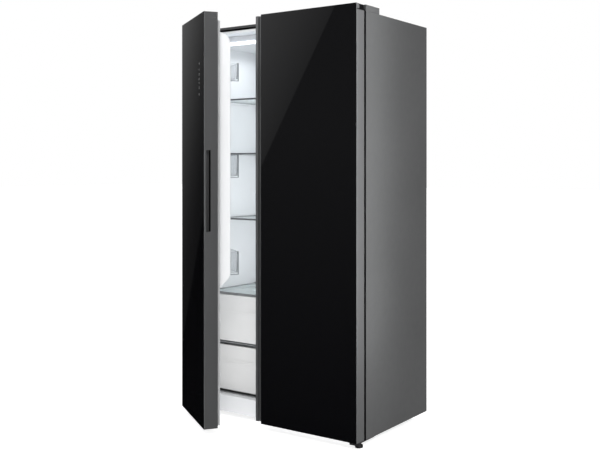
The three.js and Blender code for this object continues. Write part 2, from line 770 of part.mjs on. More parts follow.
// A door's meshes, turned about its hinge pin by an angle in degrees, positive towards opening.
function hungDoor(plan, meshes, angle) {
  const pivot = new THREE.Group();
  const closed = new THREE.Group();
  pivot.position.set(plan.pin[0], plan.pin[1], 0);
  pivot.rotation.z = THREE.MathUtils.degToRad(plan.hinged * angle);
  closed.position.set(-plan.pin[0], -plan.pin[1], 0);
  closed.add(...meshes);
  pivot.add(closed);
  return pivot;
}

function buildFreezerDoor() {
  const plan = doorPlan(-1);
  const freeRibInset = 28;
  const bins = [[1474, 1542], [1071, 1159], [666, 755]];
  return hungDoor(plan, [
    mesh('freezer_door_glass', doorGlass(plan), 'blackGlass'),
    mesh('freezer_door_pan', doorPan(plan), 'doorEdge'),
    mesh('freezer_door_top_cap', doorTopCap(plan), 'capGrey'),
    mesh('freezer_door_liner', doorLiner(plan, 56, freeRibInset), 'white'),
    mesh('freezer_door_gasket', doorGasket(plan), 'gasket'),
    mesh('freezer_grip_insert', gripInsert(plan), 'black'),
    mesh('touch_control_board', touchBoard(plan), 'circuit'),
    ...bins.map((heights, i) => mesh(`freezer_door_bin_${i + 1}`,
      doorBin(binSpan(plan, freeRibInset), heights), 'clear')),
  ], freezerDoorAngle);
}

function buildFridgeDoor() {
  const plan = doorPlan(1);
  const freeRibInset = 33;
  const bins = [[1400, 1480], [1040, 1135], [680, 780]];
  return hungDoor(plan, [
    mesh('fridge_door_glass', doorGlass(plan), 'blackGlass'),
    mesh('fridge_door_pan', doorPan(plan), 'doorEdge'),
    mesh('fridge_door_top_cap', doorTopCap(plan), 'capGrey'),
    mesh('fridge_door_liner', doorLiner(plan, 46, freeRibInset), 'white'),
    mesh('fridge_door_gasket', doorGasket(plan), 'gasket'),
    ...bins.map((heights, i) => mesh(`fridge_door_bin_${i + 1}`,
      doorBin(binSpan(plan, freeRibInset), heights), 'clear')),
  ], 0);
}

function standOnOrigin(group) {
  const bounds = new THREE.Box3().setFromObject(group, true);
  const centre = bounds.getCenter(new THREE.Vector3());
  group.position.set(-centre.x, -centre.y, -bounds.min.z);
  return group;
}

const refrigerator = new THREE.Group();
refrigerator.add(
  buildCabinet(), buildFreezerInside(), buildFridgeInside(), buildFreezerDoor(), buildFridgeDoor(),
);

export default standOnOrigin(refrigerator);
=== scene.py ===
"""Looks of a side by side refrigerator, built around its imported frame. Metres, +Z up."""

import json
import math

import bmesh
import bpy
from mathutils import Matrix, Vector


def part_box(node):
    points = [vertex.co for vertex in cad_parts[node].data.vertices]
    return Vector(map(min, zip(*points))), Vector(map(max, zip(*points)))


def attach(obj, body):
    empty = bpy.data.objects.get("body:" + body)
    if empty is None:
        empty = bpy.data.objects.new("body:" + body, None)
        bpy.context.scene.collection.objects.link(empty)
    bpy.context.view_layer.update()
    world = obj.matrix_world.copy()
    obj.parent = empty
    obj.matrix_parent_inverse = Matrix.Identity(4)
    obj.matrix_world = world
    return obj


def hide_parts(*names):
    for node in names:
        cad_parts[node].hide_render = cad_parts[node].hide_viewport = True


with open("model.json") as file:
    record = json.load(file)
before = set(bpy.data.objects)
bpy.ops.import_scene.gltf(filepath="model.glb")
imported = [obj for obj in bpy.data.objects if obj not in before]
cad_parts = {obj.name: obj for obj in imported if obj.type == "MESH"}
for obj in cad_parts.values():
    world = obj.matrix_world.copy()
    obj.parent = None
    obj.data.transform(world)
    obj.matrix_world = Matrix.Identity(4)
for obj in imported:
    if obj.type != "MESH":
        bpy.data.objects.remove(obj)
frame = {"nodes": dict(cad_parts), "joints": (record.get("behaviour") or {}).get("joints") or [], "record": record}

MM = 0.001
X, Y, Z = range(3)
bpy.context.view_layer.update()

record = frame["record"]
body_of = {n: body for body, members in record["behaviour"]["bodies"].items() for n in members}
slot_of = {part["node"]: part["material_slot"] for part in record["subparts"]}


# ---- Where things are ------------------------------------------------------------------------
# Pieces are laid out with both doors closed. The freezer door's pieces are then turned to stand
# ajar, as its CAD nodes are.


def ajar_turn():
    joint = next(j for j in frame["joints"] if j["name"] == "freezer_door_hinge")
    pin = Vector(joint["pos_m"])
    turn = Matrix.Rotation(math.radians(joint["range_deg"][0]), 4, "Z")
    return Matrix.Translation(pin) @ turn @ Matrix.Translation(-pin)


AJAR = ajar_turn()


def layout(body):
    return AJAR if body == "freezer_door" else Matrix.Identity(4)


def closed_box(node):
    """Lowest and highest corner of a CAD node, with the doors closed."""
    undo = layout(body_of[node]).inverted()
    points = [undo @ v.co for v in frame["nodes"][node].data.vertices]
    return [Vector([pick(p[i] for p in points) for i in range(3)]) for pick in (min, max)]


# ---- Materials -------------------------------------------------------------------------------

FINISHES = {}


def finish(name, colour, roughness, metallic=0.0, **constants):
    """A Principled material. Its constants are set on the shader's own sockets."""
    material = bpy.data.materials.new(name)
    material.use_nodes = True
    shader = material.node_tree.nodes["Principled BSDF"]
    shader.inputs["Base Color"].default_value = (*colour, 1)
    shader.inputs["Roughness"].default_value = roughness
    shader.inputs["Metallic"].default_value = metallic
    for socket, value in constants.items():
        shader.inputs[socket.replace("_", " ")].default_value = value
    FINISHES[name] = material
    return material


def node(material, kind, **settings):
    made = material.node_tree.nodes.new(kind)
    for key, value in settings.items():
        if hasattr(made, key):
            setattr(made, key, value)
        else:
            made.inputs[key.replace("_", " ")].default_value = value
    return made


def link(material, source, target):
    material.node_tree.links.new(source, target)


def noise(material, scale, detail=3.0, stretch=(1, 1, 1)):
    """A noise in the piece's own coordinates, with scale in features per metre."""
    place = node(material, "ShaderNodeTexCoord")
    mapping = node(material, "ShaderNodeMapping")
    mapping.inputs["Scale"].default_value = stretch
    made = node(material, "ShaderNodeTexNoise", Scale=scale, Detail=detail)
    link(material, place.outputs["Object"], mapping.inputs["Vector"])
    link(material, mapping.outputs["Vector"], made.inputs["Vector"])
    return made.outputs["Fac"]


def spread(material, source, low, high):
    """The noise's middle range mapped to low..high."""
    made = node(material, "ShaderNodeMapRange")
    for key, value in {"From Min": 0.3, "From Max": 0.7, "To Min": low, "To Max": high}.items():
        made.inputs[key].default_value = value
    link(material, source, made.inputs["Value"])
    return made.outputs["Result"]


def shader_of(material):
    return material.node_tree.nodes["Principled BSDF"]


def mottle(material, scale, amount, stretch=(1, 1, 1)):
    """Varies the base colour gently between a darker and a lighter tone of itself."""
    base = shader_of(material).inputs["Base Color"]
    colour = base.default_value[:3]
    ramp = node(material, "ShaderNodeValToRGB")
    ramp.color_ramp.elements[0].color = (*(c * (1 - amount) for c in colour), 1)
    ramp.color_ramp.elements[1].color = (*(min(1, c * (1 + amount)) for c in colour), 1)
    link(material, spread(material, noise(material, scale, stretch=stretch), 0, 1),
         ramp.inputs["Fac"])
    link(material, ramp.outputs["Color"], base)


def polish(material, scale, low, high, stretch=(1, 1, 1)):
    """Varies the roughness."""
    source = noise(material, scale, stretch=stretch)
    link(material, spread(material, source, low, high), shader_of(material).inputs["Roughness"])


def grain(material, scale, height, strength=0.3, stretch=(1, 1, 1), detail=3.0):
    """Bumps of a height in millimetres."""
    bump = node(material, "ShaderNodeBump", Strength=strength)
    bump.inputs["Distance"].default_value = height * MM
    link(material, noise(material, scale, detail, stretch), bump.inputs["Height"])
    link(material, bump.outputs["Normal"], shader_of(material).inputs["Normal"])


def edge_alpha(material, face_on, edge_on):
    """See-through plastic or glass: thin where it faces the eye, dense at its edges."""
    weight = node(material, "ShaderNodeLayerWeight", Blend=0.35)
    made = node(material, "ShaderNodeMapRange")
    made.inputs["To Min"].default_value = face_on
    made.inputs["To Max"].default_value = edge_on
    link(material, weight.outputs["Facing"], made.inputs["Value"])
    link(material, made.outputs["Result"], shader_of(material).inputs["Alpha"])


def painted_finishes():
    shell = finish("graphite_paint", (0.071, 0.072, 0.073), 0.42, 0.1, Specular_IOR_Level=0.3)
    mottle(shell, 2.2, 0.05)
    polish(shell, 30, 0.38, 0.46)
    grain(shell, 900, 0.03, 0.25)

    edge = finish("door_edge_paint", (0.162, 0.164, 0.167), 0.3, 0.65)
    mottle(edge, 3, 0.04)
    grain(edge, 1100, 0.02, 0.2)

    trim = finish("bright_trim", (0.25, 0.255, 0.26), 0.3, 0.7)
    polish(trim, 60, 0.22, 0.34, (1, 1, 0.03))
    grain(trim, 1500, 0.01, 0.2, (1, 1, 0.02))

    rim = finish("rim_black", (0.002, 0.002, 0.0025), 0.7, Specular_IOR_Level=0.05)
    grain(rim, 1400, 0.04, 0.3)

    black = finish("black_steel", (0.018, 0.018, 0.02), 0.5)
    polish(black, 80, 0.42, 0.6)
    grain(black, 1400, 0.05, 0.4)

    zinc = finish("galvanised_steel", (0.36, 0.375, 0.385), 0.4, 0.85)
    spangle = node(zinc, "ShaderNodeTexVoronoi", Scale=70.0)
    place = node(zinc, "ShaderNodeTexCoord")
    ramp = node(zinc, "ShaderNodeValToRGB")
    ramp.color_ramp.elements[0].color = (0.3, 0.312, 0.322, 1)
    ramp.color_ramp.elements[1].color = (0.43, 0.445, 0.455, 1)
    link(zinc, place.outputs["Object"], spangle.inputs["Vector"])
    link(zinc, spangle.outputs["Color"], ramp.inputs["Fac"])
    link(zinc, ramp.outputs["Color"], shader_of(zinc).inputs["Base Color"])
    polish(zinc, 25, 0.32, 0.5)
    grain(zinc, 500, 0.02, 0.2)

    screw = finish("screw_zinc", (0.5, 0.5, 0.5), 0.32, 0.95)
    polish(screw, 300, 0.25, 0.42)


def plastic_finishes():
    white = finish("white_plastic", (0.885, 0.895, 0.91), 0.3, Coat_Weight=0.1)
    mottle(white, 4, 0.012)
    grain(white, 450, 0.04, 0.12)

    cap = finish("cap_plastic", (0.05, 0.052, 0.055), 0.5)
    mottle(cap, 12, 0.06)
    grain(cap, 1600, 0.06, 0.5)

    black = finish("black_plastic", (0.008, 0.008, 0.009), 0.42)
    polish(black, 60, 0.36, 0.5)
    grain(black, 1500, 0.05, 0.4)

    shelf_trim = finish("shelf_trim", (0.1, 0.105, 0.11), 0.35)
    polish(shelf_trim, 60, 0.3, 0.42)
    grain(shelf_trim, 1200, 0.03, 0.3)

    lens = finish("lamp_lens", (0.95, 0.97, 1.0), 0.35, Emission_Strength=3.0)
    shader_of(lens).inputs["Emission Color"].default_value = (0.86, 0.93, 1.0, 1)
    grain(lens, 700, 0.05, 0.3, (1, 0.1, 1))

    foam = finish("foam", (0.76, 0.66, 0.38), 0.9)
    mottle(foam, 90, 0.12)
    grain(foam, 500, 0.4, 0.8)

    board = finish("circuit_board", (0.02, 0.12, 0.055), 0.4)
    mottle(board, 300, 0.25)

    icon = finish("icon_ink", (0.3, 0.305, 0.31), 0.5)
    mottle(icon, 900, 0.08)


def soft_finishes():
    rubber = finish("black_rubber", (0.014, 0.014, 0.015), 0.7)
    mottle(rubber, 60, 0.15)
    grain(rubber, 1300, 0.08, 0.5)

    vinyl = finish("gasket_vinyl", (0.46, 0.465, 0.47), 0.55, Specular_IOR_Level=0.3)
    mottle(vinyl, 8, 0.05)
    polish(vinyl, 50, 0.42, 0.6)
    grain(vinyl, 900, 0.05, 0.3)


def clear_finishes():
    glass = finish("black_glass", (0.0015, 0.0015, 0.002), 0.02, IOR=1.5)
    polish(glass, 2.5, 0.012, 0.03)
    grain(glass, 1.2, 0.02, 0.05, detail=0.0)

    clear = finish("clear_plastic", (0.86, 0.875, 0.88), 0.12, IOR=1.49)
    mottle(clear, 6, 0.02)
    polish(clear, 40, 0.08, 0.18)
    edge_alpha(clear, 0.3, 0.85)

    pane = finish("shelf_glass", (0.72, 0.82, 0.82), 0.05, IOR=1.5)
    mottle(pane, 5, 0.02)
    polish(pane, 8, 0.03, 0.08)
    edge_alpha(pane, 0.16, 0.7)

    rim = finish("glass_edge", (0.16, 0.34, 0.3), 0.12, Alpha=0.85)
    mottle(rim, 30, 0.12)

    thin = finish("thin_clear_plastic", (0.7, 0.76, 0.82), 0.12, IOR=1.49)
    mottle(thin, 6, 0.02)
    polish(thin, 40, 0.08, 0.18)
    edge_alpha(thin, 0.1, 0.35)

    dark_edge = finish("clear_edge", (0.06, 0.065, 0.075), 0.2, Alpha=0.85)
    mottle(dark_edge, 20, 0.08)

    frost = finish("frosted_plastic", (0.87, 0.87, 0.865), 0.35, IOR=1.49)
    mottle(frost, 8, 0.02)
    grain(frost, 900, 0.06, 0.35)
    edge_alpha(frost, 0.72, 0.95)


def metal_finishes():
    fins = finish("fin_aluminium", (0.72, 0.73, 0.74), 0.35, 1.0)
    polish(fins, 120, 0.28, 0.45)
    copper = finish("copper_tube", (0.72, 0.33, 0.18), 0.3, 1.0)
    mottle(copper, 25, 0.18)
    polish(copper, 60, 0.22, 0.45)


painted_finishes()
plastic_finishes()
soft_finishes()
clear_finishes()
metal_finishes()


# ---- Mesh helpers ----------------------------------------------------------------------------


def piece(name, bm, finishes, body, replaces=(), slot=None, sharp=38):
    """Turns a bmesh, laid out with the doors closed, into a piece that rides on a body."""
    bm.transform(layout(body))
    mesh = bpy.data.meshes.new(name)
    bm.to_mesh(mesh)
    bm.free()
    for name_of_finish in finishes:
        mesh.materials.append(FINISHES[name_of_finish])
    mesh.polygons.foreach_set("use_smooth", [True] * len(mesh.polygons))
    mesh.set_sharp_from_angle(angle=math.radians(sharp))
    made = bpy.data.objects.new(name, mesh)
    bpy.context.scene.collection.objects.link(made)
    made.modifiers.new("even_normals", "WEIGHTED_NORMAL").keep_sharp = True
    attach(made, body)
    # The ajar door stands so near the other door's glass that it would darken its reflection.
    made.visible_glossy = body != "freezer_door"
    if replaces:
        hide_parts(*replaces)
    return made


def cad_bmesh(name):
    """A CAD node's mesh with both doors closed, its flat faces merged into polygons."""
    bm = bmesh.new()
    bm.from_mesh(frame["nodes"][name].data)
    bm.transform(layout(body_of[name]).inverted())
    bmesh.ops.remove_doubles(bm, verts=bm.verts, dist=0.02 * MM)
    bmesh.ops.dissolve_limit(bm, angle_limit=math.radians(1), verts=bm.verts, edges=bm.edges)
    return bm


def along(edge, axis):
    direction = edge.verts[1].co - edge.verts[0].co
    return abs(direction[axis]) > 0.95 * direction.length


def middle(edge):
    return (edge.verts[0].co + edge.verts[1].co) / 2


def is_sharp(edge, angle=35):
    return len(edge.link_faces) == 2 and edge.calc_face_angle(0) > math.radians(angle)


def round_edges(bm, radius, segments=2, where=None, finish_index=-1):
    """Rounds the sharp edges, or those of them that where() picks."""
    edges = [e for e in bm.edges if is_sharp(e) and (where is None or where(e))]
    if edges:
        bmesh.ops.bevel(bm, geom=edges, offset=radius * MM, offset_type="OFFSET",
                        segments=segments, profile=0.5, affect="EDGES", clamp_overlap=True,
                        material=finish_index)


def cut(bm, axis, at):
    """Splits the faces that cross a plane square to an axis."""
    point, normal = Vector(), Vector()
    point[axis] = at
    normal[axis] = 1
    bmesh.ops.bisect_plane(bm, geom=bm.verts[:] + bm.edges[:] + bm.faces[:], dist=0.01 * MM,
                           plane_co=point, plane_no=normal)


BOW = 0.8


def bow(bm, steps=6):
    """Bulges the flat side towards +X: its front and rear edges move inwards by BOW."""
    reach = max(v.co.x for v in bm.verts)
    flat = [v for v in bm.verts if v.co.x > reach - 0.05 * MM]
    near = min(v.co.y for v in flat)
    far = max(v.co.y for v in flat)
    for i in range(1, steps):
        cut(bm, Y, near + (far - near) * i / steps)
    for v in bm.verts:
        if v.co.x > reach - 0.05 * MM:
            off_middle = 2 * (v.co.y - near) / (far - near) - 1
            v.co.x -= BOW * MM * off_middle ** 2


def formed(name, radius=0.5, rounds=(), finishes=None, paint=None, segments=2, cuts=(),
           shape=None, edge_finish=-1):
    """A CAD node with rounded edges: rounds are (which edges, radius, segments), widest first."""
    bm = cad_bmesh(name)
    for axis, at in cuts:
        cut(bm, axis, at)
    if shape:
        shape(bm)
    if paint:
        for face in bm.faces:
            face.material_index = paint(face)
    for where, wide, steps in rounds:
        round_edges(bm, wide, steps, where, edge_finish)
    round_edges(bm, radius, segments, finish_index=edge_finish)
    slot = slot_of[name]
    return piece(f"{name}_formed", bm, finishes or [slot], body_of[name], [name], slot)


def merge(bm, part, finish_index):
    for face in part.faces:
        face.material_index = finish_index
    mesh = bpy.data.meshes.new("part")
    part.to_mesh(mesh)
    part.free()
    bm.from_mesh(mesh)
    bpy.data.meshes.remove(mesh)


def add_block(bm, low, high, radius=0.0, segments=2, finish_index=0):
    part = bmesh.new()
    bmesh.ops.create_cube(part, size=1)
    size = Vector(high) - Vector(low)
    part.transform(Matrix.Translation((Vector(low) + Vector(high)) / 2) @ Matrix.Diagonal((*size, 1)))
    if radius:
        round_edges(part, radius, segments)
    merge(bm, part, finish_index)


def turn_to(direction):
    return Vector(direction).to_track_quat("Z", "Y").to_matrix().to_4x4()


def add_turned(bm, at, direction, profile, segments=32, finish_index=0):
    """A turned solid. Its profile holds (radius, height) in millimetres, from the foot up."""
    part = bmesh.new()
    rings = []
    for radius, height in profile:
        turns = [2 * math.pi * i / segments for i in range(segments)]
        rings.append([part.verts.new((radius * MM * math.cos(a), radius * MM * math.sin(a),
                                      height * MM)) for a in turns])
    for below, above in zip(rings, rings[1:]):
        for i in range(segments):
            j = (i + 1) % segments
            part.faces.new((below[i], below[j], above[j], above[i]))
    part.faces.new(reversed(rings[0]))
    part.faces.new(rings[-1])
    part.transform(Matrix.Translation(at) @ turn_to(direction))
    merge(bm, part, finish_index)


def add_screw(bm, at, direction, radius=4.0, finish_index=0):
    """A hexagon head on a round flange, standing on a face."""
    add_turned(bm, at, direction, [(radius * 1.45, -0.3), (radius * 1.45, 0.5),
                                   (radius * 1.2, 0.9)], 24, finish_index)
    add_turned(bm, at, direction, [(radius, 0.6), (radius, 2.2), (radius * 0.82, 2.8)], 6,
               finish_index)


def sweep_rectangle(bm, profile, low, high):
    """A closed profile of (across, depth) in millimetres, swept round a rectangle in X and Z
    with mitred corners. Across runs inwards from the rectangle and depth runs along +Y."""
    corners = [(low.x, low.z, 1, 1), (high.x, low.z, -1, 1), (high.x, high.z, -1, -1),
               (low.x, high.z, 1, -1)]
    rings = [[bm.verts.new((x + sx * a * MM, low.y + d * MM, z + sz * a * MM))
              for a, d in profile] for x, z, sx, sz in corners]
    count = len(profile)
    for k in range(4):
        here, there = rings[k], rings[(k + 1) % 4]
        for i in range(count):
            j = (i + 1) % count
            bm.faces.new((here[i], there[i], there[j], here[j]))
    bmesh.ops.recalc_face_normals(bm, faces=bm.faces)


def tube(name, points, radius, finish_name, body):
    """A bent tube through points in metres, with rounded bends."""
    curve = bpy.data.curves.new(name, "CURVE")
    curve.dimensions = "3D"
    curve.bevel_depth = radius * MM
    curve.bevel_resolution = 4
    curve.use_fill_caps = True
    spline = curve.splines.new("NURBS")
    spline.points.add(len(points) - 1)
    for point, place in zip(spline.points, points):
        point.co = (*place, 1)
    spline.use_endpoint_u = True
    spline.order_u = 3
    curve.materials.append(FINISHES[finish_name])
    made = bpy.data.objects.new(name, curve)
    bpy.context.scene.collection.objects.link(made)
    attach(made, body)
    return made


# ---- Cabinet ---------------------------------------------------------------------------------


def outer_shell():
    low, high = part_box("outer_shell")

    def outermost(edge):
        at = middle(edge)
        touching = [
            abs(at.x - low.x) < 0.5 * MM or abs(at.x - high.x) < 0.5 * MM,
            abs(at.y - low.y) < 0.5 * MM or abs(at.y - high.y) < 0.5 * MM,
            abs(at.z - high.z) < 0.5 * MM,
        ]
        return sum(touching) >= 2

    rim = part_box("front_frame")[1].z + 8.5 * MM
    # Painted shade: the front rim is black within this width of the sides and below rim.
    shade = 14 * MM
    lip = 1.7 * MM

    def paint(face):
        """The rim behind the doors is painted black as painted shade for the gaps round the doors, except for the
        upper half of its top strip.
        """
        at = face.calc_center_median()
        if at.y > low.y + lip:
            return 0
        beside = min(at.x - low.x, high.x - at.x) < shade
        return 1 if beside or at.z < rim else 0

    formed("outer_shell", 0.35, [(outermost, 1.4, 3)], ["graphite_paint", "rim_black"], paint,
           cuts=[(X, low.x + shade), (X, high.x - shade), (Z, rim), (Y, low.y + lip)])


def liner(name):
    """An inner tub with wide roundings in its corners."""
    low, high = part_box(name)

    def inside_corner(edge):
        at = middle(edge)
        deep = at.y > low.y + 30 * MM or along(edge, Y)
        return deep and edge.calc_length() > 60 * MM and is_inside(edge, low, high)

    formed(name, 0.6, [(inside_corner, 12, 5)])


def is_inside(edge, low, high):
    """Whether both faces of an edge look towards the middle of the compartment."""
    at = middle(edge)
    centre = (low + high) / 2
    return all(face.normal.dot(centre - at) > 0 for face in edge.link_faces)


def back_panel():
    """The rear sheet with stamped stiffening beads."""
    low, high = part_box("back_panel")
    bm = bmesh.new()
    add_block(bm, low, high, 0.3)
    bead = 5 * MM
    rows = 7
    reach = 60 * MM
    board_foot = high.z - 310 * MM
    beside_board = low.x + 500 * MM
    for i in range(rows):
        z = low.z + (high.z - low.z) * (i + 1) / (rows + 1)
        end = beside_board if z > board_foot else high.x - reach
        add_block(bm, (low.x + reach, high.y - 1 * MM, z - bead),
                  (end, high.y + 1.6 * MM, z + bead), 1.5, 3)
    piece("back_panel_stamped", bm, ["galvanised_steel"], "cabinet", ["back_panel"],
          "galvanised_steel")
    bay_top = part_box("compressor_bay_cover")[1].z
    seam = bmesh.new()
    add_block(seam, (low.x, low.y, bay_top - 0.5 * MM), (high.x, low.y + 0.5 * MM, low.z + 1 * MM))
    piece("back_panel_foot_flange", seam, ["galvanised_steel"], "cabinet", slot="galvanised_steel")
    screws = bmesh.new()
    left, right = low.x + 14 * MM, high.x - 14 * MM
    for x in (left, (low.x + high.x) / 2, right):
        for z in (low.z + 12 * MM, high.z - 12 * MM):
            add_screw(screws, (x, high.y, z), (0, 1, 0))
    for x in (left, right):
        for share in (0.33, 0.66):
            add_screw(screws, (x, high.y, low.z + (high.z - low.z) * share), (0, 1, 0))
    piece("back_panel_screws", screws, ["screw_zinc"], "cabinet", slot="galvanised_steel")


def bay_cover():
    """The machine compartment's cover, with its screws and the power lead's grommet."""
    low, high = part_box("compressor_bay_cover")
    formed("compressor_bay_cover", 0.4)
    screws = bmesh.new()
    for x in (low.x + 12 * MM, low.x + 290 * MM, high.x - 290 * MM, high.x - 12 * MM):
        add_screw(screws, (x, high.y, high.z - 10 * MM), (0, 1, 0))
    for x in (low.x + 12 * MM, high.x - 12 * MM):
        add_screw(screws, (x, high.y, low.z + 10 * MM), (0, 1, 0))
    piece("bay_cover_screws", screws, ["screw_zinc"], "cabinet", slot="galvanised_steel")
    grommet = bmesh.new()
    hole = Vector((low.x + 25 * MM, high.y, low.z + 15 * MM))
    add_turned(grommet, hole, (0, 1, 0), [(11, -1), (11, 1.2), (9.6, 2.2), (5.4, 2.2)], 28)
    piece("lead_grommet", grommet, ["black_rubber"], "cabinet", slot="black_rubber")


def board_cover():
    """The control board's white box, with vents drawn as dark flush patches, painted shade of the slots, and
    screws.
    """
    low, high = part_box("control_board_cover")

    def corner(edge):
        return along(edge, Y) and edge.calc_length() > 8 * MM

    formed("control_board_cover", 1.0, [(corner, 6, 4)])
    # Painted shade: the vents are dark patches flush with the face, not slots.
    vents = bmesh.new()
    for i in range(9):
        z = low.z + (26 + 9 * i) * MM
        add_block(vents, (low.x + 30 * MM, high.y - 1 * MM, z),
                  (low.x + 100 * MM, high.y, z + 3.5 * MM), 0.6)
    piece("board_cover_vents", vents, ["cap_plastic"], "cabinet", slot="cap_plastic")
    screws = bmesh.new()
    for x in (low.x + 10 * MM, high.x - 10 * MM):
        for z in (low.z + 10 * MM, high.z - 10 * MM):
            add_screw(screws, (x, high.y - 2.9 * MM, z), (0, 1, 0), 3)
    piece("board_cover_screws", screws, ["screw_zinc"], "cabinet", slot="galvanised_steel")


def hinge_cover(side_name):
    name = f"{side_name}_hinge_cover"
    low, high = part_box(name)
    wall = 3 * MM

    def outer(edge):
        """The top's edges, and the upright ones that aren't inside the cover."""
        at = middle(edge)
        on_top = at.z > high.z - 1 * MM
        inside = (low.x + wall < at.x < high.x - wall) and (low.y + wall < at.y < high.y - wall)
        return on_top or (along(edge, Z) and not inside)

    formed(name, 0.4, [(outer, 1.8, 3)])
    cap = bmesh.new()
    at = Vector(((low.x + high.x) / 2, low.y + 78 * MM, high.z))
    add_turned(cap, at, (0, 0, 1), [(7, -1.6), (7, -0.35), (6.2, -0.05)], 28)
    piece(f"{name}_screw_cap", cap, ["cap_plastic"], "cabinet", slot="cap_plastic")


def foot(side_name):
    """A ribbed levelling foot on its threaded stem."""
    name = f"{side_name}_front_foot"
    low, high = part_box(name)
    centre = Vector(((low.x + high.x) / 2, (low.y + high.y) / 2, 0))
    bm = bmesh.new()
    add_turned(bm, centre, (0, 0, 1), [
        (14, 0), (15.3, 0.5), (15.8, 1.4), (15.8, 3.4), (15, 4.2), (14.4, 5), (15, 5.8),
        (15.7, 6.4), (15.7, 10), (15, 11), (13.8, 11.4), (7, 11.4)], 40)
    ribs = 24
    for i in range(ribs):
        a = 2 * math.pi * i / ribs
        at = centre + Vector((math.cos(a) * 15.3 * MM, math.sin(a) * 15.3 * MM, 0))
        add_turned(bm, at, (0, 0, 1), [(0.6, 6.6), (0.6, 9.9)], 8)
    stem_foot = 11.2
    turns = math.floor((high.z / MM - stem_foot) / 0.5)
    thread = [(3.9 if i % 2 else 3.2, stem_foot + 0.5 * i) for i in range(turns + 1)]
    add_turned(bm, centre, (0, 0, 1), thread, 24, 1)
    piece(f"{name}_turned", bm, ["black_rubber", "screw_zinc"], name, [name], "black_rubber")


def roller(side_name):
    """A wheel with a grooved tread and hollow sides."""
    name = f"{side_name}_rear_roller"
    low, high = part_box(name)
    centre = (low + high) / 2
    bm = bmesh.new()
    half = (high.x - low.x) / 2 / MM
    wide = (high.z - low.z) / 2 / MM
    bore = 4.4
    rim = [(bore, -half + 2), (wide - 6, -half + 2), (wide - 5, -half), (wide - 1.4, -half),
           (wide - 0.1, -half + 1.4), (wide, -3), (wide - 0.8, -2), (wide - 0.8, 2), (wide, 3),
           (wide - 0.1, half - 1.4), (wide - 1.4, half), (wide - 5, half), (wide - 6, half - 2),
           (bore, half - 2)]
    add_turned(bm, centre, (1, 0, 0), rim, 48)
    piece(f"{name}_turned", bm, ["white_plastic"], name, [name], "white_plastic")


def hinges(side_name):
    """A door's two hinges. The upper one is near-black, partly its own dark finish and partly painted shade for
    its notch, and the lower one is bolted from below.
    """
    formed(f"{side_name}_lower_hinge", 0.5)
    # The upper hinge's near-black finish is partly painted shade for the hinge notch.
    formed(f"{side_name}_upper_hinge", 0.7, finishes=["rim_black"])
    low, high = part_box(f"{side_name}_lower_hinge")
    bolts = bmesh.new()
    centre = (low.x + high.x) / 2
    plate_foot = low.z + 6.7 * MM
    for dy in (62, 88):
        add_screw(bolts, (centre, low.y + dy * MM, plate_foot), (0, 0, -1), 5)
    piece(f"{side_name}_lower_hinge_bolts", bolts, ["screw_zinc"], "cabinet",
          slot="galvanised_steel")


# ---- Machine compartment ---------------------------------------------------------------------


def compressor():
    """A welded steel can on a rubber-mounted plate, with its terminal box and suction tube."""
    low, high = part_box("compressor")
    can_x = (low.x + high.x) / 2
    can_y = low.y + 55 * MM
    floor = low.z
    bm = bmesh.new()
    base = 12.2
    add_turned(bm, (can_x, can_y, floor), (0, 0, 1), [
        (40, base), (46, base), (56, base + 5), (61, base + 12), (63, base + 26),
        (63, base + 54), (65.5, base + 56), (65.5, base + 62), (63, base + 64),
        (63, base + 116), (60.5, base + 130), (54, base + 141), (40, base + 150),
        (18, base + 155), (0.5, base + 156)], 56)
    add_block(bm, (can_x - 90 * MM, can_y - 55 * MM, floor + 9 * MM),
              (can_x + 90 * MM, can_y + 55 * MM, floor + 12.4 * MM), 1.0)
    add_block(bm, (can_x - 24 * MM, can_y + 56 * MM, floor + 58 * MM),
              (can_x + 24 * MM, can_y + 77 * MM, floor + 102 * MM), 3.0, 3)
    for dx in (-78, 78):
        for dy in (-42, 42):
            add_turned(bm, (can_x + dx * MM, can_y + dy * MM, floor), (0, 0, 1),
                       [(9, 0), (9.6, 1), (9.6, 3), (7.6, 4), (9.6, 5.5), (9.6, 8), (8.6, 9.2)],
                       24, 1)
            add_screw(bm, (can_x + dx * MM, can_y + dy * MM, floor + 12.4 * MM), (0, 0, 1), 5, 2)
    piece("compressor_can", bm, ["black_steel", "black_rubber", "screw_zinc"], "cabinet",
          ["compressor"], "black_steel")
    top = high.z - 25 * MM
    route = [(30, top - 10 * MM), (30, top), (30, high.z), (60, high.z), (105, high.z),
             (118, high.z), (118, high.z - 15 * MM), (118, floor + 30 * MM)]
    tube("compressor_suction_tube", [(can_x + dx * MM, can_y - 20 * MM, z) for dx, z in route],
         3.2, "copper_tube", "cabinet")


